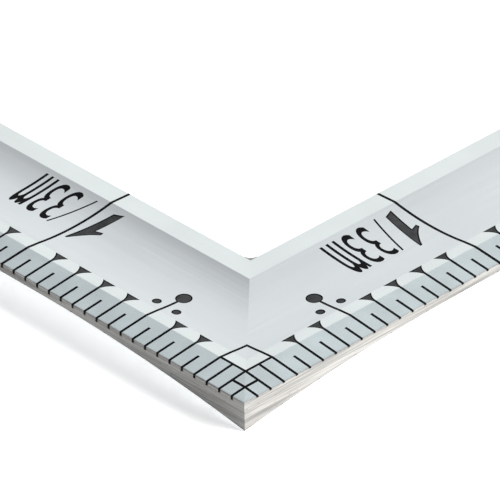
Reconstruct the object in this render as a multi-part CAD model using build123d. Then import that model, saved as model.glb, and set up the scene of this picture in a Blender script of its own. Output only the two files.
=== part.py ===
"""A steel carpenter's square with a thick corner and shaku graduations, in millimetres.

The origin is the outer corner at its lowest point. +X runs along the long arm's outer edge, +Y along the
short arm's outer edge, and +Z points out of the front face. Each arm is a profiled steel strip, cut at 45
degrees and welded to the other. The graduations are etched recesses filled with black enamel.

An arm is described in a frame of its own: u is the distance from the corner along the arm, and d is the
distance from its outer edge. On the long arm u is X and d is Y. The short arm is mirrored in the mitre.
"""

from build123d import *
from math import floor, sqrt
import os

os.makedirs("parts", exist_ok=True)

# ---- units of the scale ----
bu = 1000 / 330  # the small unit, a hundredth of a shaku
sun = 10 * bu

# ---- the two arms ----
long_arm_length = 310.0
short_arm_length = 158.0
blade_width = 15.0
edge_height = 0.9  # outer edge face of an arm, away from the corner
corner_edge_height = 2.85  # the same face at the thick corner
corner_taper_length = 26.0  # from the corner to where the thick corner has run out
inner_corner_radius = 0.8
weld_width = 0.3

# ---- front of the strip: bevel, outer land, hollow, inner land ----
bevel_width = 3.0
outer_land_width = 1.3
inner_land_width = 2.2
bevel_rise = 0.32  # these heights are above the outer edge of the front
outer_land_rise = 0.22
inner_land_rise = 0.55
inner_edge_rise = 0.48
front_hollow_depth = 0.36

# ---- back of the strip: two flat lands with a hollow between them ----
back_land_width = 3.2
back_hollow_depth = 0.2

# ---- etching and enamel ----
etch_depth = 0.07
enamel_sink = 0.02  # the enamel's surface lies this far below the steel
split_depth = 0.4  # front marks are cut from above this depth, back marks from below it
overshoot = 1.0  # how far a cutting shape runs past the steel

# ---- front marks ----
mark_width = 0.22
sun_line_width = 0.26
half_bu_length = 1.97
funnel_base_width = 1.6
funnel_waist_width = 0.5  # halfway up the head, whose sides are hollow
big_dot_radius = 0.75
small_dot_radius = 0.43
small_dot_spread = 1.22  # along the arm, from the mark's line to each small dot
big_dot_from_land = 3.0  # from the inner side of the outer land
small_dot_from_land = 1.0
grid_cells = 2  # the corner grid is this many bu square
end_margin = 1.0  # no mark is nearer than this to the end of an arm

# ---- front figures ----
figure_height = 5.45
figure_foot_gap = 0.6  # from the inner land to the foot of a figure
figure_gap = 1.1  # from a sun line to the lettering on either side of it
bold_stroke = 0.75
fine_height = 4.85
fine_stroke = 0.28
slash_stroke = 0.2

# ---- back marks: the unit is the diagonal of a square of one bu ----
back_unit = sqrt(2) * bu
back_mark_width = 0.2
back_unit_length = 2.0
back_five_length = 3.0
back_ten_length = 4.4
back_figure_height = 3.4
back_figure_gap = 0.7  # from the end of a ten-unit line to the top of its figure
back_stroke = 0.4

# ---- sizes that follow ----
front_z = corner_edge_height
back_z = front_z - edge_height
split_z = front_z - split_depth
hollow_start = bevel_width + outer_land_width
hollow_end = blade_width - inner_land_width
figure_foot = hollow_end - figure_foot_gap
back_figure_foot = back_ten_length + back_figure_gap + back_figure_height
far = 2 * (long_arm_length + short_arm_length)
mitre = Plane(origin=(0, 0, 0), z_dir=(1, -1, 0))


# ---- steel ----


def strip_section():
    """The strip's section, with d along Y and the height along Z."""
    outer_edge = (0, 0, front_z)
    bevel_top = (0, bevel_width, front_z + bevel_rise)
    land_end = (0, hollow_start, front_z + outer_land_rise)
    inner_land = (0, hollow_end, front_z + inner_land_rise)
    inner_edge = (0, blade_width, front_z + inner_edge_rise)
    chord_z = front_z + (outer_land_rise + inner_land_rise) / 2
    front_hollow = (0, (hollow_start + hollow_end) / 2, chord_z - front_hollow_depth)
    back_inner_edge = (0, blade_width, back_z)
    back_inner_land = (0, blade_width - back_land_width, back_z)
    back_hollow = (0, blade_width / 2, back_z + back_hollow_depth)
    back_outer_land = (0, back_land_width, back_z)
    back_outer_edge = (0, 0, back_z)
    return make_face(
        [
            Polyline(back_outer_land, back_outer_edge, outer_edge, bevel_top, land_end),
            ThreePointArc(land_end, front_hollow, inner_land),
            Polyline(inner_land, inner_edge, back_inner_edge, back_inner_land),
            ThreePointArc(back_inner_land, back_hollow, back_outer_land),
        ]
    )


def thick_corner(width):
    """The extra steel under the strip, whose underside runs out smoothly along the arm."""
    start = (0, 0, 0)
    end = (corner_taper_length, 0, back_z)
    side = make_face(
        [
            TangentArc(end, start, tangent=(-1, 0, 0)),
            Polyline(start, (0, 0, split_z), (corner_taper_length, 0, split_z), end),
        ]
    )
    return extrude(side, amount=width, dir=(0, 1, 0))


def inner_corner_filler():
    """Steel that rounds the inner corner, as deep as the thick corner is there."""
    w, r = blade_width, inner_corner_radius
    middle = w + r - r / sqrt(2)
    arc = ThreePointArc((w + r, w), (middle, middle), (w, w + r))
    plan = make_face([Polyline((w, w + r), (w, w), (w + r, w)), arc])
    upper = Pos(0, 0, split_z) * extrude(plan, amount=front_z + inner_edge_rise - split_z)
    lower = extrude(plan, amount=split_z) & thick_corner(w + r)
    return upper + lower


def beside_mitre(gap):
    """Everything on the long arm's side of the mitre, at least gap away from it."""
    return mitre.offset(gap) * Box(far, far, far, align=(Align.CENTER, Align.CENTER, Align.MIN))


def to_short_arm(shape):
    """Moves a shape from the arm's frame to the short arm."""
    return mirror(shape, about=mitre)


def arm_blank(length):
    """One arm up to the mitre with nothing etched in it, in the arm's frame."""
    strip = extrude(strip_section(), amount=length, dir=(1, 0, 0))
    return (strip + thick_corner(blade_width) + inner_corner_filler()) & beside_mitre(0)


# ---- marks: flat outlines in the arm's frame ----


def line_mark(u, end, width):
    """A straight mark at u, from past the outer edge to end."""
    return Pos(u, (end - overshoot) / 2) * Rectangle(width, end + overshoot)


def funnel_mark(u):
    """A line up the bevel that flares into a head with hollow sides on the outer land."""
    neck = bevel_width - mark_width
    middle = (neck + hollow_start) / 2
    line, waist, base = mark_width / 2, funnel_waist_width / 2, funnel_base_width / 2
    head = make_face(
        [
            Line((u - line, neck), (u + line, neck)),
            ThreePointArc((u + line, neck), (u + waist, middle), (u + base, hollow_start)),
            Line((u + base, hollow_start), (u - base, hollow_start)),
            ThreePointArc((u - base, hollow_start), (u - waist, middle), (u - line, neck)),
        ]
    )
    return line_mark(u, neck + mark_width, mark_width) + head


def five_mark(u):
    """A long line that ends in a big dot, with a small dot on each side."""
    big = hollow_start + big_dot_from_land
    small = hollow_start + small_dot_from_land
    shape = line_mark(u, big, mark_width) + Pos(u, big) * Circle(big_dot_radius)
    return shape + [Pos(u + side * small_dot_spread, small) * Circle(small_dot_radius) for side in (-1, 1)]


def corner_grid():
    """Lines every half bu along both arms, over the square where the arms meet."""
    lines = []
    for step in range(1, 2 * grid_cells + 1):
        cells = 1 if step % 2 else grid_cells
        lines.append(line_mark(step * bu / 2, cells * bu + mark_width / 2, mark_width))
    half = Sketch() + lines
    return half + to_short_arm(half)


# ---- lettering: flat outlines with the foot at the origin, reading along +X ----

# The strokes of each figure, in a box one wide and one high, with every bend rounded.
figure_paths = {
    "0": [[(0, 0.5), (0, 1), (1, 1), (1, 0.5)], [(1, 0.5), (1, 0), (0, 0), (0, 0.5)]],
    "1": [[(0.1, 0.8), (0.6, 1)], [(0.6, 1), (0.6, 0)]],
    "2": [[(0, 0.8), (0, 1), (1, 1), (1, 0.55), (0, 0)], [(0, 0), (1, 0)]],
    "3": [
        [(0, 0.85), (0, 1), (0.9, 1), (0.9, 0.54), (0.2, 0.54)],
        [(0.2, 0.54), (1, 0.54), (1, 0), (0, 0), (0, 0.15)],
    ],
    "4": [[(0.75, 0), (0.75, 1)], [(0.75, 1), (0, 0.3)], [(0, 0.3), (1, 0.3)]],
    "5": [[(1, 1), (0.1, 1)], [(0.1, 1), (0, 0.6)], [(0, 0.6), (1, 0.6), (1, 0), (0, 0), (0, 0.15)]],
    "6": [[(1, 0.85), (1, 1), (0, 1), (0, 0), (1, 0), (1, 0.58), (0, 0.58)]],
    "7": [[(0, 1), (1, 1)], [(1, 1), (0.3, 0)]],
    "8": [
        [(0.5, 0.54), (0, 0.54), (0, 1), (0.5, 1)],
        [(0.5, 1), (1, 1), (1, 0.54), (0.5, 0.54)],
        [(0.5, 0.54), (0, 0.54), (0, 0), (0.5, 0)],
        [(0.5, 0), (1, 0), (1, 0.54), (0.5, 0.54)],
    ],
    "9": [[(0, 0.15), (0, 0), (1, 0), (1, 1), (0, 1), (0, 0.42), (1, 0.42)]],
}
bold_breadth = 0.45  # how broad a figure is, for its height
fine_breadth = 0.22
bold_lean = 0.12
bend = 0.46  # radius of a figure's bends, for its breadth


def stroke(path, width):
    """A stroke of even width along a path, with round ends and joints."""
    return trace(path, line_width=width) + [Pos(end.X, end.Y) * Circle(width / 2) for end in path.vertices()]


def figure(character, height, breadth, lean, width):
    """One figure, drawn with strokes of one width."""
    tall = height - width
    broad = breadth * tall
    shape = Sketch()
    for points in figure_paths[character]:
        placed = [(x * broad + y * lean * tall, y * tall + width / 2) for x, y in points]
        path = Line(*placed) if len(placed) == 2 else FilletPolyline(*placed, radius=bend * broad / 2)
        shape += stroke(path, width)
    return shape


def wedge_one():
    """The bold one: a leaning bar that narrows upwards, with a pointed flag."""
    h = figure_height
    foot_left, foot_right = (0, 0), (0.185 * h, 0.07 * h)
    tip_right, tip_left = (0.33 * h, h), (0.285 * h, h)
    flag_end, flag_under, notch = (-0.07 * h, 0.58 * h), (-0.055 * h, 0.51 * h), (0.08 * h, 0.56 * h)
    outline = Polyline(flag_end, flag_under, notch, foot_left, foot_right, tip_right, tip_left)
    return make_face([outline, ThreePointArc(tip_left, (0.1 * h, 0.73 * h), flag_end)])


def number(value):
    """The figures of a sun line's number, side by side. Ones are wedges and the rest are strokes."""
    shape = Sketch()
    for place, character in enumerate(str(value)):
        if character == "1":
            drawn = wedge_one()
        else:
            drawn = figure(character, figure_height, bold_breadth, bold_lean, bold_stroke)
        shape += Pos(0.55 * place * figure_height, 0) * drawn
    return shape


def letter_m():
    """Three long legs under two small arches, with a short tail."""
    high = fine_height - fine_stroke
    pitch = 0.15 * fine_height
    tail_end = (2 * pitch + 0.5 * pitch, 0.12 * fine_height)
    strokes = [stroke(Line((0, 0), (0, high)), fine_stroke)]
    for left in (0, pitch):
        right = left + pitch
        arch = FilletPolyline((left, high - pitch / 2), (left, high), (right, high), (right, 0), radius=pitch / 4)
        strokes.append(stroke(arch, fine_stroke))
    strokes.append(stroke(Line((2 * pitch, 0), tail_end), fine_stroke))
    return Pos(0, fine_stroke / 2) * (Sketch() + strokes)


def unit_mark():
    """A slash, two threes and the letter m: the sun as a part of a metre."""
    slash = stroke(Line((0, 0), (0.27 * fine_height, fine_height)), slash_stroke)
    shape = slash + Pos(1.06 * fine_height, 0) * letter_m()
    for place in (0.33, 0.69):
        three = figure("3", fine_height, fine_breadth, 0, fine_stroke)
        shape += Pos(place * fine_height, 0) * three
    return shape


def towards_corner(shape, u, foot):
    """Places lettering that starts at u and reads towards the corner, with its top at the outer edge."""
    return Pos(u, foot) * Rot(0, 0, 180) * shape


def from_corner(shape, u, foot):
    """The same, reading away from the corner, which is right only on the back or once mirrored."""
    return Pos(u, foot) * mirror(shape, about=Plane.XZ)


# ---- groups of marks along one arm ----


def steps(first, length, pitch):
    """Whole numbers of the pitch, from first up to the last that fits on the arm."""
    return range(first, floor((length - end_margin) / pitch) + 1)


def front_marks(length):
    """Outlines of one arm's front marks, by group."""
    halves = [n for n in steps(2 * grid_cells + 1, length, bu / 2) if n % 2]
    wholes = [n for n in steps(grid_cells + 1, length, bu) if n % 5]
    fives = [n for n in steps(1, length, 5 * bu) if n % 2]
    suns = steps(1, length, sun)
    return {
        "half_bu_marks": [line_mark(n * bu / 2, half_bu_length, mark_width) for n in halves],
        "bu_marks": [funnel_mark(n * bu) for n in wholes],
        "five_bu_marks": [five_mark(n * 5 * bu) for n in fives],
        "sun_lines": [line_mark(n * sun, blade_width + overshoot, sun_line_width) for n in suns],
    }


def long_lettering():
    """The long arm's numbers start at their sun lines and read towards the corner."""
    suns = steps(1, long_arm_length, sun)
    numbers = [towards_corner(number(n), n * sun - figure_gap, figure_foot) for n in suns]
    unit_start = sun - figure_gap - 0.36 * figure_height
    return {
        "sun_numbers": numbers,
        "unit_mark": [towards_corner(unit_mark(), unit_start, figure_foot)],
    }


def short_lettering():
    """The short arm's numbers read away from the corner and end at their sun lines."""
    numbers = []
    for n in steps(1, short_arm_length, sun):
        shape = number(n)
        start = n * sun - figure_gap / 2 - shape.bounding_box().max.X
        numbers.append(from_corner(shape, start, figure_foot))
    return {
        "sun_numbers": numbers,
        "unit_mark": [from_corner(unit_mark(), sun + figure_gap, figure_foot)],
    }


def back_marks(length, place):
    """Outlines of one arm's back marks, by group. place turns lettering to read right from below."""
    units = [n for n in steps(1, length, back_unit) if n % 5]
    fives = [n for n in steps(1, length, 5 * back_unit) if n % 2]
    tens = steps(1, length, 10 * back_unit)
    numbers = []
    for n in tens:
        shape = figure(str(n), back_figure_height, bold_breadth, 0, back_stroke)
        centred = Pos(-shape.bounding_box().center().X, 0) * shape
        numbers.append(place(centred, n * 10 * back_unit, back_figure_foot))
    return {
        "back_unit_marks": [line_mark(n * back_unit, back_unit_length, back_mark_width) for n in units],
        "back_five_marks": [line_mark(n * 5 * back_unit, back_five_length, back_mark_width) for n in fives],
        "back_ten_lines": [line_mark(n * 10 * back_unit, back_ten_length, back_mark_width) for n in tens],
        "back_numbers": numbers,
    }


# ---- etching ----


def etch(outline, blank, front):
    """The recess that an outline makes in a blank, open at the top, and the enamel that fills it."""
    up = 1 if front else -1
    reach = front_z + inner_land_rise - split_z if front else split_z
    tool = Pos(0, 0, split_z) * extrude(outline, amount=up * (reach + overshoot))
    recess = tool - Pos(0, 0, -up * etch_depth) * blank
    enamel = recess & (Pos(0, 0, -up * enamel_sink) * blank)
    return recess, enamel


gap = weld_width / 2
long_side = beside_mitre(gap)
short_side = to_short_arm(long_side)
long_blank = arm_blank(long_arm_length)
short_blank = arm_blank(short_arm_length)
square = long_blank + to_short_arm(short_blank)

nodes = {}
long_recesses = []
for name, outlines in {**front_marks(long_arm_length), **long_lettering()}.items():
    recess, nodes["long_" + name] = etch(Sketch() + outlines, long_blank, True)
    long_recesses.append(recess)
for name, outlines in back_marks(long_arm_length, from_corner).items():
    recess, nodes["long_" + name] = etch(Sketch() + outlines, long_blank, False)
    long_recesses.append(recess)

short_recesses = []
for name, outlines in {**front_marks(short_arm_length), **short_lettering()}.items():
    recess, enamel = etch(Sketch() + outlines, short_blank, True)
    nodes["short_" + name] = to_short_arm(enamel)
    short_recesses.append(to_short_arm(recess))
for name, outlines in back_marks(short_arm_length, towards_corner).items():
    recess, enamel = etch(Sketch() + outlines, short_blank, False)
    nodes["short_" + name] = to_short_arm(enamel)
    short_recesses.append(to_short_arm(recess))

grid_recess, nodes["corner_grid"] = etch(corner_grid(), square, True)

nodes["long_arm"] = (long_blank & long_side) - grid_recess - long_recesses
nodes["short_arm"] = (to_short_arm(short_blank) & short_side) - grid_recess - short_recesses
nodes["corner_weld"] = square - long_side - short_side - grid_recess

for name, shape in nodes.items():
    export_step(shape, f"parts/{name}.step")
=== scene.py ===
"""A carpenter's square with a thick corner: two hollow-ground steel arms, etched and enamelled."""

from math import asin, atan2, cos, radians, sin, sqrt

import bmesh
import bpy
from mathutils import Matrix, Vector


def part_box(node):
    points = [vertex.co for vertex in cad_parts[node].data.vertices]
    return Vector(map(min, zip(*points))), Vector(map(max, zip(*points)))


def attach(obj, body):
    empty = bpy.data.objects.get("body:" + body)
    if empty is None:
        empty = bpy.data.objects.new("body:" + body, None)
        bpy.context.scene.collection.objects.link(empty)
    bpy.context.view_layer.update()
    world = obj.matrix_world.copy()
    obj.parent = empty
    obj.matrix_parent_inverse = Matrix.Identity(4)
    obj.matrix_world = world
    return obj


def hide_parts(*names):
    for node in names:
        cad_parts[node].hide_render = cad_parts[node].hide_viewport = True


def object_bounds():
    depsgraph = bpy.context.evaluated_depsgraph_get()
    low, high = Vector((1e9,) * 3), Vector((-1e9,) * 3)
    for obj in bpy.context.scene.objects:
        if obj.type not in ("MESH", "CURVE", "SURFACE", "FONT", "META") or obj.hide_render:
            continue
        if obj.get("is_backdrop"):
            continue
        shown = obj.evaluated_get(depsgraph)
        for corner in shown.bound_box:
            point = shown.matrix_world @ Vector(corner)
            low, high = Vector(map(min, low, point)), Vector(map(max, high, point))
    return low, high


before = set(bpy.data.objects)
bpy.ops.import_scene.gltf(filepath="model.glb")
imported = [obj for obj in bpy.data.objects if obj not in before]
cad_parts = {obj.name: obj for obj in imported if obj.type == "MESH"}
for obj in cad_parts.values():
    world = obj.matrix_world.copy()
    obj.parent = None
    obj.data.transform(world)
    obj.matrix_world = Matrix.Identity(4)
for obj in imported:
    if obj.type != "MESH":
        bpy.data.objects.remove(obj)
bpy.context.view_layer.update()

bl_info = {
    "name": "Carpenter's Square",
    "version": (1, 0, 0),
    "blender": (4, 5, 0),
    "location": "View3D > Sidebar > Square",
    "description": "Builds a steel carpenter's square with etched and enamelled graduations",
    "category": "Object",
}

MM = 0.001
BU = 1 / 330  # the small unit of the scale, in metres
SUN = 10 * BU
BACK_UNIT = sqrt(2) * BU
EDGE_TOLERANCE = 1e-6
CUT_TOLERANCE = 1e-7
MITRE_TOLERANCE = 1e-8
SWAP_ARMS = Matrix(((0, 1, 0, 0), (1, 0, 0, 0), (0, 0, 1, 0), (0, 0, 0, 1)))

# ---- sizes and colours ----


def size(millimetres, name, description):
    """A length that the user can change, given here in millimetres."""
    return bpy.props.FloatProperty(
        name=name, description=description, default=millimetres * MM,
        min=0.0, unit="LENGTH", precision=5,
    )


def colour(red, green, blue, name, description):
    """A linear colour that the user can change."""
    return bpy.props.FloatVectorProperty(
        name=name, description=description, default=(red, green, blue),
        size=3, min=0.0, max=1.0, subtype="COLOR",
    )


def share(value, name, description):
    """A number from 0 to 1 that the user can change."""
    return bpy.props.FloatProperty(
        name=name, description=description, default=value, min=0.0, max=1.0, subtype="FACTOR"
    )


def count(value, name, description):
    """A whole number that the user can change."""
    return bpy.props.IntProperty(name=name, description=description, default=value, min=1)


class SquareSizes(bpy.types.PropertyGroup):
    """Sizes of the steel."""

    long_arm: bpy.props.FloatProperty(
        name="Long arm", description="Length along the long arm's outer edge",
        default=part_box("long_arm")[1].x, unit="LENGTH",
    )
    short_arm: bpy.props.FloatProperty(
        name="Short arm", description="Length along the short arm's outer edge",
        default=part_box("short_arm")[1].y, unit="LENGTH",
    )
    blade_width: size(15.0, "Blade width", "Width of each arm")
    edge_height: size(0.9, "Edge height", "Height of the outer edge face away from the corner")
    corner_height: size(2.85, "Corner height", "Height of the outer edge face at the thick corner")
    taper_length: size(26.0, "Taper length", "Distance from the corner in which the thick corner runs out")
    fillet_radius: size(0.8, "Inner corner radius", "Rounding of the inner corner")
    weld_width: size(0.3, "Weld width", "Width of the weld along the mitre")
    bevel_width: size(3.0, "Bevel width", "Width of the matt bevel along the outer edge")
    outer_land: size(1.3, "Outer land", "Width of the bright land inside the bevel")
    inner_land: size(2.2, "Inner land", "Width of the bright land along the inner edge")
    bevel_rise: size(0.32, "Bevel rise", "Height of the bevel's top over the outer edge")
    outer_land_rise: size(0.22, "Outer land rise", "Height of the land's inner side over the outer edge")
    inner_land_rise: size(0.55, "Inner land rise", "Height of the inner land's crest over the outer edge")
    inner_edge_rise: size(0.48, "Inner edge rise", "Height of the inner edge over the outer edge")
    hollow_depth: size(0.36, "Hollow depth", "Depth of the hollow under the line between the lands")
    back_land: size(3.2, "Back land", "Width of the two flat lands on the back")
    back_hollow: size(0.2, "Back hollow", "Depth of the hollow on the back")
    edge_break: size(0.07, "Broken edge", "Width of the flat that breaks each long edge")
    hollow_cuts: count(26, "Hollow facets", "Facets across the front hollow")
    back_cuts: count(12, "Back facets", "Facets across the back hollow")
    taper_cuts: count(14, "Taper facets", "Facets along the underside of the thick corner")


class MarkSizes(bpy.types.PropertyGroup):
    """Sizes of the etched marks."""

    etch_depth: size(0.07, "Etch depth", "Depth of the etching")
    enamel_sink: size(0.02, "Enamel sink", "How far the enamel lies below the steel")
    # the rim is painted darker than the middle: partly thicker enamel, partly painted shade of the recess
    # wall
    enamel_rim: size(0.13, "Enamel rim", "Width of the darker rim round a broad mark")
    enamel_dip: size(0.006, "Enamel dip", "How far the middle of a broad mark is dished")
    line_width: size(0.27, "Line width", "Width of the common lines")
    sun_line_width: size(0.3, "Sun line width", "Width of the lines across the whole blade")
    half_bu_length: size(1.97, "Half mark length", "Length of the half marks")
    funnel_base: size(1.6, "Funnel base", "Width of a funnel mark at its base")
    funnel_waist: size(0.5, "Funnel waist", "Width of a funnel mark halfway up its head")
    big_dot: size(0.75, "Big dot radius", "Radius of the big dot")
    small_dot: size(0.43, "Small dot radius", "Radius of the small dots")
    small_dot_spread: size(1.22, "Small dot spread", "Distance of a small dot from the mark's line")
    big_dot_from_land: size(3.0, "Big dot place", "Distance of the big dot from the outer land")
    small_dot_from_land: size(1.0, "Small dot place", "Distance of the small dots from the outer land")
    grid_cells: count(2, "Grid cells", "Units on each side of the corner grid")
    end_margin: size(1.0, "End margin", "No mark is nearer to the end of an arm")
    figure_height: size(5.45, "Figure height", "Height of the numbers")
    figure_foot_gap: size(0.6, "Figure foot gap", "From the inner land to the foot of a number")
    figure_gap: size(1.1, "Figure gap", "From a sun line to the lettering beside it")
    fine_height: size(4.85, "Unit mark height", "Height of the unit mark")
    back_line_width: size(0.2, "Back line width", "Width of the lines on the back")
    back_unit_length: size(2.0, "Back unit length", "Length of the back's unit lines")
    back_five_length: size(3.0, "Back five length", "Length of the back's five-unit lines")
    back_ten_length: size(4.4, "Back ten length", "Length of the back's ten-unit lines")
    back_figure_height: size(3.4, "Back figure height", "Height of the numbers on the back")
    back_figure_gap: size(0.7, "Back figure gap", "From a ten-unit line to its number")


class FinishColours(bpy.types.PropertyGroup):
    """Colours and polish of the steel and the enamel."""

    bright: colour(0.83, 0.86, 0.86, "Bright steel", "Polished lands")
    hollow: colour(0.83, 0.85, 0.87, "Hollow steel", "Satin of the hollows")
    matt: colour(0.86, 0.93, 0.95, "Matt steel", "Blasted bevel")
    # painted shade: the edge faces' base colour is darker than the steel so that an unlit edge looks shaded
    ground: colour(0.30, 0.295, 0.285, "Ground steel", "Edge faces")
    # broad marks: the black rim is partly painted shade of the recess wall, and the grey middle is partly
    # worn enamel and partly a painted reflection
    enamel: colour(0.003, 0.003, 0.0035, "Enamel", "Thin lines and the rims of broad marks")
    enamel_middle: colour(0.040, 0.041, 0.043, "Enamel middle", "Thin enamel in the middle of broad marks")
    bright_roughness: share(0.20, "Bright roughness", "Roughness of the polished lands")
    hollow_roughness: share(0.27, "Hollow roughness", "Roughness of the satin hollows")
    matt_roughness: share(0.40, "Matt roughness", "Roughness of the blasted bevel")
    ground_roughness: share(0.50, "Ground roughness", "Roughness of the ground edge faces")


class StageSettings(bpy.types.PropertyGroup):
    """Camera, lights and floor."""

    azimuth: bpy.props.FloatProperty(
        name="Azimuth", description="Turn of the camera, from square on to the long arm's outer edge",
        default=radians(-42.957), subtype="ANGLE",
    )
    elevation: bpy.props.FloatProperty(
        name="Elevation", description="Height of the camera above the horizon",
        default=radians(32.4385), subtype="ANGLE",
    )
    roll: bpy.props.FloatProperty(
        name="Roll", description="Tilt of the camera about its line of sight",
        default=radians(-1.1913), subtype="ANGLE",
    )
    distance: size(452.4, "Distance", "From the camera to its aim")
    aim: bpy.props.FloatVectorProperty(
        name="Aim", description="Where the camera looks",
        default=(0.016584, 0.016735, 0.00285), subtype="XYZ", unit="LENGTH",
    )
    lens: bpy.props.FloatProperty(
        name="Lens", description="Focal length on a 36 mm sensor",
        default=377.3, min=1.0, unit="CAMERA",
    )
    floor: colour(0.90, 0.90, 0.90, "Floor", "Pale floor")
    floor_glow: share(0.5, "Floor glow", "Light of the floor's own, which thins the shadows")
    room_dim: colour(0.25, 0.26, 0.27, "Dim room", "Most of the room")
    room_bright: colour(0.97, 1.0, 1.0, "Bright room", "Middle of the glow beyond the corner")


def sizes():
    return bpy.context.scene.square_sizes


def marks():
    return bpy.context.scene.mark_sizes


def finishes():
    return bpy.context.scene.finish_colours


# ---- finishes ----


class Value:
    """A number socket that Python's operators work on."""

    def __init__(self, shader, socket):
        self.shader = shader
        self.socket = socket

    def math(self, operation, *others):
        return self.shader.number("ShaderNodeMath", {"operation": operation}, self, *others)

    def __add__(self, other):
        return self.math("ADD", other)

    def __radd__(self, other):
        return self.math("ADD", other)

    def __sub__(self, other):
        return self.math("SUBTRACT", other)

    def __rsub__(self, other):
        return self.shader.number("ShaderNodeMath", {"operation": "SUBTRACT"}, other, self)

    def __mul__(self, other):
        return self.math("MULTIPLY", other)

    def __rmul__(self, other):
        return self.math("MULTIPLY", other)

    def above(self, low, high):
        """0 under low, 1 over high, smooth between."""
        settings = {"interpolation_type": "SMOOTHSTEP"}
        return Value(self.shader, self.shader.node("ShaderNodeMapRange", settings, {
            "Value": self, "From Min": low, "From Max": high}).outputs["Result"])


class Shader:
    """The nodes of a material or of the room."""

    def __init__(self, tree):
        self.tree = tree

    def node(self, kind, settings, inputs):
        """Adds a node. Settings come first, then the value or link of each socket, by name or place."""
        made = self.tree.nodes.new(kind)
        for name, value in settings.items():
            setattr(made, name, value)
        self.fill(made, inputs)
        return made

    def fill(self, made, inputs):
        """Sets or links a node's sockets."""
        for name, value in inputs.items():
            socket = made.inputs[name]
            if isinstance(value, Value):
                value = value.socket
            if isinstance(value, bpy.types.NodeSocket):
                self.tree.links.new(value, socket)
            else:
                socket.default_value = value

    def number(self, kind, settings, *values):
        """A node whose sockets are filled in order and whose first output is a number."""
        return Value(self, self.node(kind, settings, dict(enumerate(values))).outputs[0])

    def place(self):
        """Object coordinates."""
        return self.node("ShaderNodeTexCoord", {}, {}).outputs["Object"]

    def stretched(self, scale):
        """Object coordinates scaled along each axis."""
        return self.node("ShaderNodeMapping", {}, {"Vector": self.place(), "Scale": scale}).outputs["Vector"]

    def noise(self, vector, scale, detail=3.0, roughness=0.5):
        """A noise value from 0 to 1."""
        inputs = {"Vector": vector, "Scale": scale, "Detail": detail, "Roughness": roughness}
        return Value(self, self.node("ShaderNodeTexNoise", {}, inputs).outputs["Fac"])

    def mix(self, factor, first, second):
        """A colour between two colours."""
        made = self.node("ShaderNodeMix", {"data_type": "RGBA"}, {})
        self.fill(made, {0: factor})
        for place, value in ((6, first), (7, second)):
            if isinstance(value, bpy.types.NodeSocket):
                self.tree.links.new(value, made.inputs[place])
            else:
                made.inputs[place].default_value = (*value, 1)
        return made.outputs[2]


class Finish(Shader):
    """One material on its principled shader."""

    def __init__(self, name):
        self.material = bpy.data.materials.new(name)
        self.material.use_nodes = True
        super().__init__(self.material.node_tree)
        self.principled = self.tree.nodes["Principled BSDF"]

    def bump(self, height, distance):
        """A normal turned by a height."""
        inputs = {"Height": height, "Distance": distance, "Strength": 1.0}
        return self.node("ShaderNodeBump", {}, inputs).outputs["Normal"]

    def finish(self, **sockets):
        """Fills the shader's own sockets and returns the material."""
        self.fill(self.principled, {name.replace("_", " "): value for name, value in sockets.items()})
        return self.material


def darker(shade, factor):
    return tuple(factor * part for part in shade)


def along_arm(along, fine, across):
    """Scales a pattern so that it is drawn out along an arm's axis."""
    return (fine, across, across) if along == "X" else (across, fine, across)


def bright_steel(along):
    """The polished lands: a clean surface with faint polishing lines and a few paler and darker clouds."""
    f = Finish("steel_bright_" + along)
    lines = f.noise(f.stretched(along_arm(along, 120, 9000)), 1.0, 2.0)
    clouds = f.noise(f.place(), 180, 2.0)
    tone = 0.25 * lines + 0.75 * clouds
    base = tuple(finishes().bright)
    return f.finish(
        Base_Color=f.mix(tone.above(0.3, 0.7), darker(base, 0.94), base),
        Metallic=1.0,
        Roughness=finishes().bright_roughness + 0.08 * lines.above(0.3, 0.8),
        Normal=f.bump(lines, 0.0000025),
    )


def hollow_steel(along):
    """The satin of the hollow: soft lines along the arm over an even tone."""
    f = Finish("steel_hollow_" + along)
    lines = f.noise(f.stretched(along_arm(along, 60, 5200)), 1.0, 3.0)
    clouds = f.noise(f.stretched(along_arm(along, 90, 220)), 1.0, 3.0)
    base = tuple(finishes().hollow)
    tone = 0.35 * lines + 0.65 * clouds
    return f.finish(
        Base_Color=f.mix(tone.above(0.25, 0.75), darker(base, 0.93), base),
        Metallic=1.0,
        Roughness=finishes().hollow_roughness + 0.1 * lines.above(0.2, 0.8),
        Normal=f.bump(lines, 0.000004),
    )


def matt_steel(along):
    """The bevel: fine blasting with a mottle about as broad as a line."""
    f = Finish("steel_matt_" + along)
    grain = f.noise(f.place(), 9000, 2.0)
    mottle = f.noise(f.place(), 3600, 3.0, 0.6)
    patches = f.noise(f.place(), 320, 2.0)
    base = tuple(finishes().matt)
    tone = 0.6 * mottle + 0.4 * patches
    return f.finish(
        Base_Color=f.mix(tone.above(0.3, 0.7), darker(base, 0.86), darker(base, 1.06)),
        Metallic=1.0,
        Roughness=finishes().matt_roughness + 0.12 * mottle.above(0.3, 0.7),
        Normal=f.bump(grain, 0.000006),
    )


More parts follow.
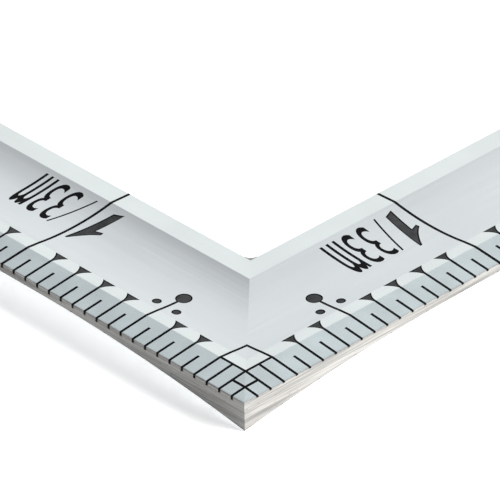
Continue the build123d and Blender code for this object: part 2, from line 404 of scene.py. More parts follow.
def ground_steel(along):
    """The edge faces: dull, with grinding streaks along the arm and small dark pits, over a base colour
    darkened as painted shade.
    """
    f = Finish("steel_ground_" + along)
    streaks = f.noise(f.stretched(along_arm(along, 130, 6500)), 1.0, 3.0, 0.6)
    broad = f.noise(f.stretched(along_arm(along, 70, 1500)), 1.0, 2.0)
    pits = f.noise(f.stretched(along_arm(along, 1600, 4200)), 1.0, 2.0).above(0.68, 0.74)
    # painted shade: this dark base colour stands in for the shade on the edge faces; the streaks and pits are
    # real
    base = tuple(finishes().ground)
    tone = 0.6 * streaks + 0.4 * broad
    shade = f.mix(tone.above(0.36, 0.64), darker(base, 0.55), darker(base, 1.25))
    return f.finish(
        Base_Color=f.mix(pits, shade, darker(base, 0.45)),
        Metallic=0.25,
        Roughness=finishes().ground_roughness + 0.14 * streaks.above(0.3, 0.7),
        Normal=f.bump(streaks - 0.6 * pits, 0.00001),
    )


def enamel():
    """Baked black enamel in the lines and round the rims, where the black is partly painted shade of the
    recess walls.
    """
    f = Finish("enamel_black")
    speckle = f.noise(f.place(), 4000, 2.0)
    base = tuple(finishes().enamel)
    return f.finish(
        Base_Color=f.mix(speckle, base, darker(base, 2.2)),
        Specular_IOR_Level=0.03,
        Roughness=0.42 + 0.12 * speckle,
        Normal=f.bump(speckle, 0.000004),
    )


def enamel_middle():
    """The thin enamel in the middle of broad marks, dark grey partly from wear and partly as a painted
    reflection.
    """
    f = Finish("enamel_grey")
    speckle = f.noise(f.place(), 5200, 3.0)
    patches = f.noise(f.place(), 1100, 2.0)
    base = tuple(finishes().enamel_middle)
    tone = 0.5 * speckle + 0.5 * patches
    return f.finish(
        Base_Color=f.mix(tone.above(0.3, 0.7), darker(base, 0.7), darker(base, 1.35)),
        Specular_IOR_Level=0.06,
        Roughness=0.5 + 0.1 * speckle,
        Normal=f.bump(speckle, 0.000004),
    )


made_finishes = {}


def finish_named(name):
    """Each finish is made once."""
    if name not in made_finishes:
        kind, _, along = name.partition(":")
        makers = {"bright": bright_steel, "hollow": hollow_steel, "matt": matt_steel, "ground": ground_steel}
        if kind in makers:
            made_finishes[name] = makers[kind](along)
        else:
            made_finishes[name] = {"enamel": enamel, "enamel_middle": enamel_middle}[kind]()
    return made_finishes[name]


# ---- bench tools ----


def pick(*objects):
    """Selects only these objects and makes the last one active."""
    if bpy.context.object and bpy.context.object.mode != "OBJECT":
        bpy.ops.object.mode_set(mode="OBJECT")
    bpy.ops.object.select_all(action="DESELECT")
    for chosen in objects:
        chosen.hide_set(False)
        chosen.select_set(True)
    bpy.context.view_layer.objects.active = objects[-1]


def edit(shape, kind="VERT"):
    """Enters edit mode with nothing selected."""
    pick(shape)
    bpy.ops.object.mode_set(mode="EDIT")
    bpy.ops.mesh.select_mode(type=kind)
    bpy.ops.mesh.select_all(action="DESELECT")


def leave():
    bpy.ops.object.mode_set(mode="OBJECT")


def choose(test):
    """Selects what passes the test, among the vertices or faces."""
    mesh = bmesh.from_edit_mesh(bpy.context.object.data)
    use_faces = bpy.context.tool_settings.mesh_select_mode[2]
    for element in (mesh.faces if use_faces else mesh.verts):
        if test(element):
            element.select_set(True)
    mesh.select_flush_mode()
    bmesh.update_edit_mesh(bpy.context.object.data)


def near(value, target, tolerance=EDGE_TOLERANCE):
    return abs(value - target) < tolerance


def settle(shape, matrix=None):
    """Puts a shape's place into its mesh, after a matrix if one is given, its faces still outwards."""
    pick(shape)
    if matrix is not None:
        shape.matrix_world = matrix @ shape.matrix_world
    bpy.ops.object.transform_apply(location=True, rotation=True, scale=True)
    if matrix is not None and matrix.determinant() < 0:
        edit(shape)
        bpy.ops.mesh.select_all(action="SELECT")
        bpy.ops.mesh.normals_make_consistent(inside=False)
        leave()
    return shape


def block(low, high):
    """A block between two corners."""
    low, high = Vector(low), Vector(high)
    bpy.ops.mesh.primitive_cube_add(size=1, location=(low + high) / 2)
    made = bpy.context.object
    made.scale = high - low
    return settle(made)


def pillar(x, y, radius, low, high, sides):
    """An upright round bar."""
    middle = (x, y, (low + high) / 2)
    bpy.ops.mesh.primitive_cylinder_add(vertices=sides, radius=radius, depth=high - low, location=middle)
    return settle(bpy.context.object)


def copy(shape, name="copy"):
    """A copy with its own mesh."""
    made = shape.copy()
    made.data = shape.data.copy()
    made.name = name
    bpy.context.scene.collection.objects.link(made)
    return made


def moved(shape, x=0.0, y=0.0, z=0.0):
    """A shape moved by a step."""
    return settle(shape, Matrix.Translation((x, y, z)))


def join(shapes, name):
    """Joins shapes into the first one."""
    pick(*reversed(shapes))
    if len(shapes) > 1:
        bpy.ops.object.join()
    made = bpy.context.object
    made.name = made.data.name = name
    return made


def scrap(*shapes):
    for shape in shapes:
        bpy.data.objects.remove(shape)


def carve(shape, tool, operation):
    """Cuts, adds or keeps what is shared with a tool."""
    pick(shape)
    step = shape.modifiers.new("carve", "BOOLEAN")
    step.operation = operation
    step.object = tool
    step.solver = "MANIFOLD"
    step.material_mode = "TRANSFER"
    bpy.ops.object.modifier_apply(modifier=step.name)
    if not shape.data.polygons or shape.modifiers:
        raise RuntimeError(f"{shape.name} could not be cut by {tool.name}")
    return shape


def paint(shape, material):
    """Gives every face of a shape one material."""
    shape.data.materials.clear()
    shape.data.materials.append(material)
    shape.data.polygons.foreach_set("material_index", [0] * len(shape.data.polygons))
    return shape


def remove_piece_under(name):
    """Takes away an earlier piece of that name."""
    if name in bpy.data.objects:
        bpy.data.objects.remove(bpy.data.objects[name])


# ---- steel ----


def front_profile():
    """Places across the strip and their heights over the outer edge, from the outer edge inwards."""
    s = sizes()
    start = s.bevel_width + s.outer_land
    end = s.blade_width - s.inner_land
    half = (end - start) / 2
    rise = (s.inner_land_rise - s.outer_land_rise) / 2
    chord = sqrt(half**2 + rise**2)
    radius = (chord**2 + s.hollow_depth**2) / (2 * s.hollow_depth)
    reach = asin(chord / radius)
    tilt = atan2(rise, half)
    middle = (s.outer_land_rise + s.inner_land_rise) / 2
    profile = [(0.0, 0.0), (s.bevel_width, s.bevel_rise)]
    for step in range(s.hollow_cuts + 1):
        turn = reach * (2 * step / s.hollow_cuts - 1)
        across = radius * sin(turn)
        sag = radius * cos(reach) - radius * cos(turn)
        place = start + half + across * cos(tilt) - sag * sin(tilt)
        profile.append((place, middle + across * sin(tilt) + sag * cos(tilt)))
    profile.append((s.blade_width, s.inner_edge_rise))
    return profile


def back_profile():
    """Places across the strip and how far the back is hollowed there."""
    s = sizes()
    half = s.blade_width / 2 - s.back_land
    radius = (half**2 + s.back_hollow**2) / (2 * s.back_hollow)
    reach = asin(half / radius)
    turns = [reach * (2 * step / s.back_cuts - 1) for step in range(s.back_cuts + 1)]
    hollow = [(s.blade_width / 2 + radius * sin(t), radius * (cos(t) - cos(reach))) for t in turns]
    return [(0.0, 0.0)] + hollow + [(s.blade_width, 0.0)]


TAPER_LAST_CUT = 0.997  # just short of the whole taper, where it is already flat


def taper_profile():
    """Places along an arm and the underside's height there, where the thick corner runs out."""
    s = sizes()
    back = s.corner_height - s.edge_height
    radius = (s.taper_length**2 + back**2) / (2 * back)
    places = [s.taper_length * step / s.taper_cuts for step in range(s.taper_cuts)]
    places.append(s.taper_length * TAPER_LAST_CUT)
    return [(x, back - radius + sqrt(radius**2 - (s.taper_length - x) ** 2)) for x in places]


def slice_across(shape, points, axis):
    """Cuts new edges through the whole shape, square to an axis."""
    for point in points:
        bpy.ops.mesh.select_all(action="SELECT")
        place, normal = [0.0, 0.0, 0.0], [0.0, 0.0, 0.0]
        place[axis], normal[axis] = point, 1.0
        bpy.ops.mesh.bisect(plane_co=place, plane_no=normal, threshold=CUT_TOLERANCE)


STEEP_FACE = 0.75  # a face whose normal rises less than this is an edge face


def dress_strip(shape, along):
    """Gives the faces of an arm their finishes, by place and direction."""
    s = sizes()
    across = 1 if along == "X" else 0
    names = ["hollow:" + along, "matt:" + along, "bright:" + along, "ground:" + along]
    shape.data.materials.clear()
    for name in names:
        shape.data.materials.append(finish_named(name))
    start = s.bevel_width + s.outer_land
    end = s.blade_width - s.inner_land
    for face in shape.data.polygons:
        d = face.center[across]
        if abs(face.normal.z) < STEEP_FACE:
            face.material_index = 3
        elif face.normal.z > 0 and d < s.bevel_width:
            face.material_index = 1
        elif face.normal.z > 0 and (d < start or d > end):
            face.material_index = 2
        elif face.normal.z < 0 and (d < s.back_land or d > s.blade_width - s.back_land):
            face.material_index = 2
        else:
            face.material_index = 0


def strip(length):
    """A whole arm's strip along X with its thick corner, before the mitre is cut."""
    s = sizes()
    front = s.corner_height
    back = front - s.edge_height
    before_corner = 1.0 * MM
    shape = block((-before_corner, 0, back), (length, s.blade_width, front))
    edit(shape)
    front_rows, back_rows, taper_rows = front_profile(), back_profile(), taper_profile()
    across = sorted({round(d, 8) for d, _ in front_rows + back_rows})
    slice_across(shape, [d for d in across if EDGE_TOLERANCE < d < s.blade_width - EDGE_TOLERANCE], 1)

    def height_at(rows, place):
        for (a, low), (b, high) in zip(rows, rows[1:]):
            if a - EDGE_TOLERANCE <= place <= b + EDGE_TOLERANCE:
                return low + (high - low) * min(max((place - a) / (b - a), 0), 1)
        raise RuntimeError("a cut lies outside the strip")

    for level, rows in ((front, front_rows), (back, back_rows)):
        for place in across:
            rise = height_at(rows, place)
            if rise <= 0:
                continue
            bpy.ops.mesh.select_all(action="DESELECT")
            choose(lambda v: near(v.co.y, place) and near(v.co.z, level, CUT_TOLERANCE))
            bpy.ops.transform.translate(value=(0, 0, rise))
    beside_marks = 0.25 * MM
    fives = [n * 5 * BU for n in range(1, int(length / (5 * BU)) + 1) if n * 5 * BU < length - MM]
    cuts = [x for x, _ in taper_rows] + [x + beside_marks for x in fives if x > s.taper_length]
    slice_across(shape, cuts, 0)
    middle = (front + back) / 2
    for place, height in [(-before_corner, 0.0)] + taper_rows:
        bpy.ops.mesh.select_all(action="DESELECT")
        choose(lambda v: near(v.co.x, place) and v.co.z < middle)
        bpy.ops.transform.resize(value=(1, 1, 0), center_override=(place, 0, height))
    leave()
    return shape


def break_edges(shape):
    """Takes the sharpness off the long edges and the ends."""
    pick(shape)
    step = shape.modifiers.new("break_edges", "BEVEL")
    step.width = sizes().edge_break
    step.segments = 2
    step.limit_method = "ANGLE"
    step.angle_limit = radians(40)
    bpy.ops.object.modifier_apply(modifier=step.name)
    return shape


def corner_filler():
    """The steel that rounds the inner corner."""
    s = sizes()
    w, r = s.blade_width, s.fillet_radius
    lap, sink, lift = 0.25 * MM, 0.004 * MM, 0.03 * MM  # no face of it lies in a face of the arms
    top = s.corner_height + s.inner_edge_rise - sink
    back = s.corner_height - s.edge_height
    under = back * (1 - (1 - (w + r / 2) / s.taper_length) ** 2) + lift
    filler = block((w - lap, w - lap, under), (w + r, w + r, top))
    round_bar = pillar(w + r, w + r, r, under - MM, top + MM, 64)
    carve(filler, round_bar, "DIFFERENCE")
    scrap(round_bar)
    return paint(filler, finish_named("ground:X"))


def cut_mitre(shape, offset, fill):
    """Keeps the long arm's side of the mitre, from offset outwards."""
    edit(shape)
    bpy.ops.mesh.select_all(action="SELECT")
    slope = sqrt(0.5)
    place = (offset * slope, -offset * slope, 0)
    bpy.ops.mesh.bisect(
        plane_co=place, plane_no=(slope, -slope, 0),
        use_fill=fill, clear_inner=True, threshold=MITRE_TOLERANCE,
    )
    leave()
    return shape


def half_square(length, along):
    """One arm up to the mitre, open there."""
    shape = break_edges(strip(length))
    if along == "Y":
        settle(shape, SWAP_ARMS)
    dress_strip(shape, along)
    if along == "Y":
        settle(shape, SWAP_ARMS)
    filler = corner_filler()
    carve(shape, filler, "UNION")
    scrap(filler)
    cut_mitre(shape, 0.0, False)
    if along == "Y":
        settle(shape, SWAP_ARMS)
    return shape


# ---- marks: tools that stand through the steel, in the arm's frame ----


SPLIT_DEPTH = 0.4 * MM  # front and back tools meet this far under the outer edge
CLEAR_ABOVE = 1.5 * MM
CLEAR_OUTSIDE = 1.0 * MM


def tool_span(front):
    """The lowest and highest point of a marking tool."""
    s = sizes()
    split = s.corner_height - SPLIT_DEPTH
    return (split, s.corner_height + CLEAR_ABOVE) if front else (-CLEAR_OUTSIDE, split)


def line_tool(u, end, width, front=True):
    """A straight line at u, from outside the outer edge to end."""
    low, high = tool_span(front)
    return block((u - width / 2, -CLEAR_OUTSIDE, low), (u + width / 2, end, high))


def funnel_tool():
    """A line up the bevel that flares into a head with hollow sides, at u = 0."""
    s, m = sizes(), marks()
    neck = s.bevel_width - m.line_width
    short_of_hollow = 0.02 * MM
    base = s.bevel_width + s.outer_land - short_of_hollow
    shape = line_tool(0, neck, m.line_width)
    edit(shape, "FACE")
    choose(lambda face: face.normal.y > 0.9)
    cuts = 8
    widths = [m.line_width, m.funnel_waist, m.funnel_base]

    def width_at(t):
        """A parabola through the widths at the neck, the waist and the base."""
        a, b, c = widths
        return a + t * (4 * b - 3 * a - c) + t * t * (2 * a + 2 * c - 4 * b)

    for step in range(1, cuts + 1):
        before, after = width_at((step - 1) / cuts), width_at(step / cuts)
        bpy.ops.mesh.extrude_region_move(TRANSFORM_OT_translate={"value": (0, (base - neck) / cuts, 0)})
        bpy.ops.transform.resize(value=(after / before, 1, 1), center_override=(0, 0, 0))
    leave()
    return shape


def five_tool():
    """A long line that ends in a big dot, with a small dot on each side, at u = 0."""
    s, m = sizes(), marks()
    start = s.bevel_width + s.outer_land
    big, small = start + m.big_dot_from_land, start + m.small_dot_from_land
    low, high = tool_span(True)
    shape = line_tool(0, big, m.line_width)
    proud = 0.01 * MM
    dot = pillar(0, big, m.big_dot, low - proud, high + proud, 48)
    carve(shape, dot, "UNION")
    scrap(dot)
    spread, radius = m.small_dot_spread, m.small_dot
    small_dots = [pillar(side * spread, small, radius, low, high, 36) for side in (-1, 1)]
    return join([shape] + small_dots, "five_mark")


def grid_tool():
    """Lines every half unit along both arms, over the square where the arms meet."""
    m = marks()
    lines = []
    for step in range(1, 2 * m.grid_cells + 1):
        cells = 1 if step % 2 else m.grid_cells
        lines.append(line_tool(step * BU / 2, cells * BU + m.line_width / 2, m.line_width))
    half = join(lines, "corner_grid")
    raised = 0.013 * MM
    other = moved(settle(copy(half), SWAP_ARMS), z=raised)
    carve(half, other, "UNION")
    scrap(other)
    return half


# ---- lettering, with its foot at the origin, reading along +X ----

# shares of the height
BOLD_BREADTH, FINE_BREADTH, BOLD_LEAN = 0.52, 0.26, 0.12
BOLD_WEIGHT, BOLD_PITCH, ONE_BREADTH = 0.015, 0.55, 0.36


def letter_tool(character, height, breadth, weight=0.0, lean=0.0, front=True):
    """An upright plain letter or figure, as high and as broad as asked, with its foot at the origin."""
    low, high = tool_span(front)
    bpy.ops.object.text_add(location=(0, 0, 0))
    shape = bpy.context.object
    shape.data.body = character
    shape.data.size = height
    shape.data.resolution_u = 5
    shape.data.shear = lean
    shape.data.offset = weight * height
    shape.data.extrude = (high - low) / 2
    pick(shape)
    bpy.ops.object.convert(target="MESH")
    shape = bpy.context.object
    edit(shape)
    bpy.ops.mesh.select_all(action="SELECT")
    bpy.ops.mesh.remove_doubles(threshold=EDGE_TOLERANCE)
    bpy.ops.mesh.normals_make_consistent(inside=False)
    leave()
    corners = [Vector(corner) for corner in shape.bound_box]
    least, most = corners[0], corners[6]
    fit = Matrix.Diagonal((breadth / (most.x - least.x), height / (most.y - least.y), 1, 1))
    place = Matrix.Translation((0, 0, (low + high) / 2)) @ fit @ Matrix.Translation((-least.x, -least.y, 0))
    return settle(shape, place)


def point_at(place, low):
    """A mesh of one vertex."""
    bpy.ops.mesh.primitive_plane_add(size=MM, location=(place[0], place[1], low))
    shape = settle(bpy.context.object)
    edit(shape)
    bpy.ops.mesh.select_all(action="SELECT")
    bpy.ops.mesh.merge(type="CENTER")
    return shape


def outline_tool(corners):
    """An upright prism on an outline."""
    low, high = tool_span(True)
    shape = point_at(corners[0], low)
    for here, there in zip(corners, corners[1:]):
        move = (there[0] - here[0], there[1] - here[1], 0)
        bpy.ops.mesh.extrude_vertices_move(TRANSFORM_OT_translate={"value": move})
    bpy.ops.mesh.select_all(action="SELECT")
    bpy.ops.mesh.edge_face_add()
    bpy.ops.mesh.select_all(action="SELECT")
    bpy.ops.mesh.extrude_region_move(TRANSFORM_OT_translate={"value": (0, 0, high - low)})
    bpy.ops.mesh.select_all(action="SELECT")
    bpy.ops.mesh.normals_make_consistent(inside=False)
    leave()
    return shape


def wedge_one():
    """The bold one: a leaning bar that narrows upwards, with a pointed flag."""
    h = marks().figure_height
    flag = [(0.285, 1.0), (0.226, 0.90), (0.155, 0.80), (0.075, 0.705), (0.0, 0.635), (-0.07, 0.58)]
    bar = [(-0.055, 0.51), (0.08, 0.56), (0.0, 0.0), (0.185, 0.07), (0.33, 1.0)]
    return outline_tool([(x * h, y * h) for x, y in flag + bar])


def number_tool(value):
    """The figures of a number, side by side."""
    h = marks().figure_height
    shapes = []
    for place, character in enumerate(str(value)):
        if character == "1":
            drawn = wedge_one()
        else:
            drawn = letter_tool(character, h, BOLD_BREADTH * h, BOLD_WEIGHT, BOLD_LEAN)
        shapes.append(moved(drawn, x=BOLD_PITCH * place * h))
    return join(shapes, f"number_{value}")


def unit_tool():
    """A slash, two threes and the letter m."""
    h = marks().fine_height
    drawn = (  # character, breadth, weight and place, as shares of the height
        ("/", 0.3, -0.02, 0.0),
        ("m", 0.36, 0.014, 1.03),
        ("3", FINE_BREADTH, 0.0, 0.33),
        ("3", FINE_BREADTH, 0.0, 0.69),
    )
    parts = []
    for character, breadth, weight, place in drawn:
        parts.append(moved(letter_tool(character, h, breadth * h, weight), x=place * h))
    return join(parts, "unit_mark")


def towards_corner(u, foot):
    """Lettering starts at u and reads towards the corner, with its top at the outer edge."""
    return Matrix(((-1, 0, 0, u), (0, -1, 0, foot), (0, 0, 1, 0), (0, 0, 0, 1)))


def from_corner(u, foot):
    """The same, reading away from the corner, which is right only on the back or once mirrored."""
    return Matrix(((1, 0, 0, u), (0, -1, 0, foot), (0, 0, 1, 0), (0, 0, 0, 1)))


def steps(first, length, pitch):
    """Whole numbers of the pitch, from first to the last that fits on the arm."""
    return range(first, int((length - marks().end_margin) / pitch) + 1)


def repeat(master, places):
    """Copies of a tool at places along the arm, joined."""
    copies = [moved(copy(master), x=u) for u in places]
    scrap(master)
    return join(copies, "marks")


def broadest(shape):
    return max(v.co.x for v in shape.data.vertices)


ARMS = {"long": ("X", Matrix.Identity(4)), "short": ("Y", SWAP_ARMS)}
tools = {"front": [], "back": []}


def arm_length(arm):
    return sizes().long_arm if arm == "long" else sizes().short_arm


def keep_tool(shape, piece, side, matrix):
    """Puts a group's tool on its arm, named for the piece that it makes."""
    settle(shape, matrix)
    paint(shape, finish_named("enamel"))
    shape.name = "tool_" + piece
    tools[side].append(shape)
    return shape


# ---- operators ----


class SQUARE_OT_blank(bpy.types.Operator):
    """Shapes both arms from strips, with the thick corner and the inner corner's rounding"""

    bl_idname = "square.blank"
    bl_label = "Steel blank"

    def execute(self, context):
        remove_piece_under("blank")
        halves = [half_square(arm_length(arm), ARMS[arm][0]) for arm in ("long", "short")]
        blank = join(halves, "blank")
        edit(blank)
        bpy.ops.mesh.select_all(action="SELECT")
        bpy.ops.mesh.remove_doubles(threshold=2e-6)
        bpy.ops.mesh.normals_make_consistent(inside=False)
        leave()
        return {"FINISHED"}


class SQUARE_OT_lines(bpy.types.Operator):
    """Makes the tools for the half marks and the sun lines"""

    bl_idname = "square.lines"
    bl_label = "Half marks and sun lines"

    def execute(self, context):
        m = marks()
        for arm, (_, matrix) in ARMS.items():
            length = arm_length(arm)
            halves = [n * BU / 2 for n in steps(2 * m.grid_cells + 1, length, BU / 2) if n % 2]
            tool = repeat(line_tool(0, m.half_bu_length, m.line_width), halves)
            keep_tool(tool, arm + "_half_bu_marks", "front", matrix)
            suns = [n * SUN for n in steps(1, length, SUN)]
            tool = repeat(line_tool(0, sizes().blade_width + MM, m.sun_line_width), suns)
            keep_tool(tool, arm + "_sun_lines", "front", matrix)
        return {"FINISHED"}


class SQUARE_OT_funnels(bpy.types.Operator):
    """Makes the tools for the unit marks with funnel heads"""

    bl_idname = "square.funnels"
    bl_label = "Funnel marks"

    def execute(self, context):
        for arm, (_, matrix) in ARMS.items():
            wholes = [n * BU for n in steps(marks().grid_cells + 1, arm_length(arm), BU) if n % 5]
            keep_tool(repeat(funnel_tool(), wholes), arm + "_bu_marks", "front", matrix)
        return {"FINISHED"}


class SQUARE_OT_dots(bpy.types.Operator):
    """Makes the tools for the five-unit marks with their dots"""

    bl_idname = "square.dots"
    bl_label = "Five-unit marks"

    def execute(self, context):
        for arm, (_, matrix) in ARMS.items():
            fives = [n * 5 * BU for n in steps(1, arm_length(arm), 5 * BU) if n % 2]
            keep_tool(repeat(five_tool(), fives), arm + "_five_bu_marks", "front", matrix)
        return {"FINISHED"}


class SQUARE_OT_grid(bpy.types.Operator):
    """Makes the tool for the grid at the corner"""

    bl_idname = "square.grid"
    bl_label = "Corner grid"

    def execute(self, context):
        keep_tool(grid_tool(), "corner_grid", "front", Matrix.Identity(4))
        return {"FINISHED"}


class SQUARE_OT_numbers(bpy.types.Operator):
    """Makes the tools for the numbers and the unit marks of both arms"""

    bl_idname = "square.numbers"
    bl_label = "Numbers and unit marks"

    def execute(self, context):
        s, m = sizes(), marks()
        foot = s.blade_width - s.inner_land - m.figure_foot_gap
        long_suns = list(steps(1, s.long_arm, SUN))
        short_suns = list(steps(1, s.short_arm, SUN))
        long_numbers, short_numbers = [], []
        for n in long_suns:
            shape = number_tool(n)
            if n in short_suns:
                start = n * SUN - m.figure_gap / 2 - broadest(shape)
                short_numbers.append(settle(copy(shape), from_corner(start, foot)))
            long_numbers.append(settle(shape, towards_corner(n * SUN - m.figure_gap, foot)))
        keep_tool(join(long_numbers, "numbers"), "long_sun_numbers", "front", ARMS["long"][1])
        keep_tool(join(short_numbers, "numbers"), "short_sun_numbers", "front", ARMS["short"][1])
        unit = unit_tool()
        on_short = settle(copy(unit), from_corner(SUN + m.figure_gap, foot))
        keep_tool(on_short, "short_unit_mark", "front", ARMS["short"][1])
        after_one = SUN - m.figure_gap - ONE_BREADTH * m.figure_height
        on_long = settle(unit, towards_corner(after_one, foot))
        keep_tool(on_long, "long_unit_mark", "front", ARMS["long"][1])
        return {"FINISHED"}


class SQUARE_OT_back_marks(bpy.types.Operator):
    """Makes the tools for the lines and numbers of the diagonal scale on the back"""

    bl_idname = "square.back_marks"
    bl_label = "Back marks"

    def execute(self, context):
        m = marks()
        for arm, (_, matrix) in ARMS.items():
            length = arm_length(arm)
            units = [n * BACK_UNIT for n in steps(1, length, BACK_UNIT) if n % 5]
            fives = [n * 5 * BACK_UNIT for n in steps(1, length, 5 * BACK_UNIT) if n % 2]
            tens = list(steps(1, length, 10 * BACK_UNIT))
            lines = (
                ("_back_unit_marks", units, m.back_unit_length),
                ("_back_five_marks", fives, m.back_five_length),
                ("_back_ten_lines", [n * 10 * BACK_UNIT for n in tens], m.back_ten_length),
            )
            for name, places, end in lines:
                tool = repeat(line_tool(0, end, m.back_line_width, False), places)
                keep_tool(tool, arm + name, "back", matrix)
            foot = m.back_ten_length + m.back_figure_gap + m.back_figure_height
            place = from_corner if arm == "long" else towards_corner
            numbers = []
            height = m.back_figure_height
            for n in tens:
                shape = letter_tool(str(n), height, BOLD_BREADTH * height, front=False)
                low = min(v.co.x for v in shape.data.vertices)
                moved(shape, x=-(low + broadest(shape)) / 2)
                numbers.append(settle(shape, place(n * 10 * BACK_UNIT, foot)))
            keep_tool(join(numbers, "numbers"), arm + "_back_numbers", "back", matrix)
        return {"FINISHED"}


class SQUARE_OT_etch(bpy.types.Operator):
    """Etches the marks into the blank and fills them with enamel"""

    bl_idname = "square.etch"
    bl_label = "Etching and enamel"

    def execute(self, context):
        m = marks()
        blank = bpy.data.objects["blank"]
        plain = copy(blank, "plain_blank")
        for side, up in (("front", 1), ("back", -1)):
            bed = moved(copy(plain, "bed"), z=-up * m.etch_depth)
            level = moved(copy(plain, "level"), z=-up * m.enamel_sink)
            for tool in tools[side]:
                name = tool.name.removeprefix("tool_")
                carve(tool, bed, "DIFFERENCE")
                remove_piece_under(name + "_enamel")
                self.colour_enamel(carve(copy(tool, name + "_enamel"), level, "INTERSECT"), name)
                carve(blank, tool, "DIFFERENCE")
                scrap(tool)
            tools[side].clear()
            scrap(bed, level)
        scrap(plain)
        return {"FINISHED"}

    def colour_enamel(self, group, name):
        """Rims and lines are black, and the dished middle of a broad mark is grey: the rim's black is partly
        painted shade, the middle's grey partly a painted reflection.
        """
        s, m = sizes(), marks()
        paint(group, finish_named("enamel"))
        across = 1 if name.startswith("long") else 0
        broad = {"bu_marks": s.bevel_width, "five_bu_marks": s.bevel_width + s.outer_land, "sun_numbers": 0.0}
        kind = name.partition("_")[2]
        if "back" not in name and kind in broad:
            group.data.materials.append(finish_named("enamel_middle"))
            edit(group, "FACE")
            choose(lambda face: face.normal.z > 0.9 and face.calc_center_median()[across] > broad[kind])
            bpy.ops.mesh.inset(
                thickness=m.enamel_rim, depth=-m.enamel_dip, use_boundary=True, use_even_offset=False
            )
            group.active_material_index = 1
            bpy.ops.object.material_slot_assign()
            leave()
        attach(group, "root")
        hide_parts(name)


HOLLOW_FACET_ANGLE = radians(3.5)  # the hollows' facets are smoothed, the lines between finishes stay


class SQUARE_OT_part_arms(bpy.types.Operator):
    """Parts the etched square into the two arms and the weld along the mitre"""

    bl_idname = "square.part_arms"
    bl_label = "Arms and weld"

    def execute(self, context):
        blank = bpy.data.objects["blank"]
        gap = sizes().weld_width / 2
        long_arm = cut_mitre(copy(blank, "long_arm_steel"), gap, True)
        short_arm = settle(copy(blank, "short_arm_steel"), SWAP_ARMS)
        settle(cut_mitre(short_arm, gap, True), SWAP_ARMS)
        weld = settle(cut_mitre(copy(blank, "corner_weld_steel"), -gap, True), SWAP_ARMS)
        settle(cut_mitre(weld, -gap, True), SWAP_ARMS)
        scrap(blank)
        pieces = (
            (long_arm, "long_arm", "steel"),
            (short_arm, "short_arm", "steel"),
            (weld, "corner_weld", "weld_steel"),
        )
        for piece, node, slot in pieces:
            pick(piece)
            bpy.ops.object.shade_smooth_by_angle(angle=HOLLOW_FACET_ANGLE, keep_sharp_edges=False)
            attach(piece, "root")
            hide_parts(node)
        return {"FINISHED"}


FLOOR_SIZE = 12
FLOOR_GAP = 0.02 * MM
GLOW_TOWARDS = (0.75, 0.45, 0.45)
GLOW_START, GLOW_FULL = 0.73, 0.975  # cosines of the angle to the middle of the glow
LAMPS = (  # name, place, width, watts and tint
    ("key", (0.78, -1.02, 0.86), 0.6, 30, (1.0, 0.99, 0.97)),
    ("low", (0.50, -1.18, 0.26), 0.5, 24, (1.0, 0.98, 0.95)),
)


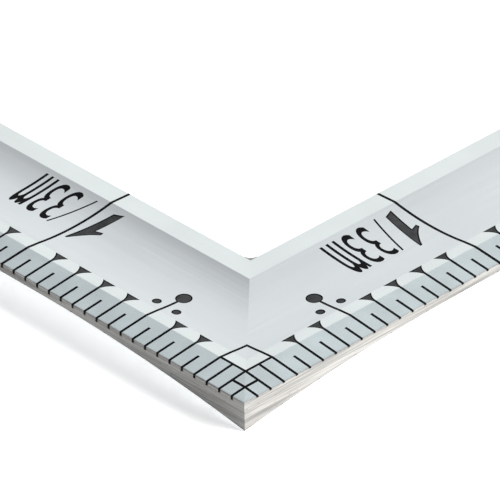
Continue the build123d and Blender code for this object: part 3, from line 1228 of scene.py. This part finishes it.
class SQUARE_OT_stage(bpy.types.Operator):
    """Lays the pale floor and sets the camera and the soft lights"""

    bl_idname = "square.stage"
    bl_label = "Stage"

    def execute(self, context):
        scene = context.scene
        settings = scene.stage_settings
        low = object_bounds()[0].z
        bpy.ops.object.select_all(action="DESELECT")
        bpy.ops.mesh.primitive_plane_add(size=FLOOR_SIZE, location=(0, 0, low - FLOOR_GAP))
        floor = settle(context.object)
        floor.name = "floor"
        f = Finish("floor")
        paint(floor, f.finish(
            Base_Color=(*settings.floor, 1),
            Roughness=0.9,
            Emission_Color=(1, 1, 1, 1),
            Emission_Strength=settings.floor_glow,
        ))
        floor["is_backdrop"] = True
        self.camera(scene, settings)
        for lamp in LAMPS:
            self.light(scene, *lamp)
        self.surroundings(scene, settings)
        scene.view_settings.view_transform = "Standard"
        return {"FINISHED"}

    def camera(self, scene, settings):
        """Aims the camera and tilts it about its line of sight."""
        a, e, r = settings.azimuth, settings.elevation, settings.roll
        back = Vector((sin(a) * cos(e), -cos(a) * cos(e), sin(e)))
        right = (-back).cross(Vector((0, 0, 1))).normalized()
        up = right.cross(-back)
        turned_right = right * cos(r) + up * sin(r)
        turned_up = up * cos(r) - right * sin(r)
        place = Vector(settings.aim) + back * settings.distance
        matrix = Matrix((turned_right, turned_up, back)).transposed().to_4x4()
        matrix.translation = place
        data = bpy.data.cameras.new("camera")
        data.sensor_width = 36
        data.lens = settings.lens
        data.clip_start, data.clip_end = 0.01, 50
        camera = bpy.data.objects.new("camera", data)
        scene.collection.objects.link(camera)
        camera.matrix_world = matrix
        scene.camera = camera

    def surroundings(self, scene, settings):
        """A dim room with one broad, bright glow beyond the inside of the corner."""
        world = bpy.data.worlds.new("studio")
        world.use_nodes = True
        room = Shader(world.node_tree)
        direction = room.node("ShaderNodeTexCoord", {}, {}).outputs["Generated"]
        glow = Vector(GLOW_TOWARDS).normalized()
        facing = room.node("ShaderNodeVectorMath", {"operation": "DOT_PRODUCT"}, {0: direction, 1: glow})
        bright = Value(room, facing.outputs["Value"]).above(GLOW_START, GLOW_FULL)
        shade = room.mix(bright, tuple(settings.room_dim), tuple(settings.room_bright))
        room.fill(world.node_tree.nodes["Background"], {"Color": shade, "Strength": 1.0})
        scene.world = world

    def light(self, scene, name, place, width, power, tint):
        """A square softbox that faces the corner and isn't mirrored in the steel."""
        data = bpy.data.lights.new(name, "AREA")
        data.shape = "SQUARE"
        data.size = width
        data.energy = power
        data.color = tint
        lamp = bpy.data.objects.new(name, data)
        scene.collection.objects.link(lamp)
        lamp.location = place
        lamp.visible_glossy = False
        lamp.rotation_euler = (-Vector(place)).to_track_quat("-Z", "Y").to_euler()


class SQUARE_PT_panel(bpy.types.Panel):
    """Lists the square's pieces and its stage"""

    bl_label = "Carpenter's Square"
    bl_idname = "SQUARE_PT_panel"
    bl_space_type = "VIEW_3D"
    bl_region_type = "UI"
    bl_category = "Square"

    def draw(self, context):
        for step in STEPS:
            self.layout.operator(step.bl_idname)
        for name in GROUPS:
            group = getattr(context.scene, name)
            box = self.layout.box()
            for prop in group.__annotations__:
                box.prop(group, prop)


STEPS = (
    SQUARE_OT_blank, SQUARE_OT_lines, SQUARE_OT_funnels, SQUARE_OT_dots, SQUARE_OT_grid,
    SQUARE_OT_numbers, SQUARE_OT_back_marks, SQUARE_OT_etch, SQUARE_OT_part_arms, SQUARE_OT_stage,
)
GROUPS = {
    "square_sizes": SquareSizes,
    "mark_sizes": MarkSizes,
    "finish_colours": FinishColours,
    "stage_settings": StageSettings,
}


def register():
    for group in (*GROUPS.values(), *STEPS, SQUARE_PT_panel):
        bpy.utils.register_class(group)
    for name, group in GROUPS.items():
        setattr(bpy.types.Scene, name, bpy.props.PointerProperty(type=group))


def unregister():
    for name in GROUPS:
        delattr(bpy.types.Scene, name)
    for group in (SQUARE_PT_panel, *reversed(STEPS), *GROUPS.values()):
        bpy.utils.unregister_class(group)


def main():
    """Builds every piece in order."""
    register()
    bpy.ops.square.blank()
    bpy.ops.square.lines()
    bpy.ops.square.funnels()
    bpy.ops.square.dots()
    bpy.ops.square.grid()
    bpy.ops.square.numbers()
    bpy.ops.square.back_marks()
    bpy.ops.square.etch()
    bpy.ops.square.part_arms()
    bpy.ops.square.stage()


if __name__ == "__main__":
    main()
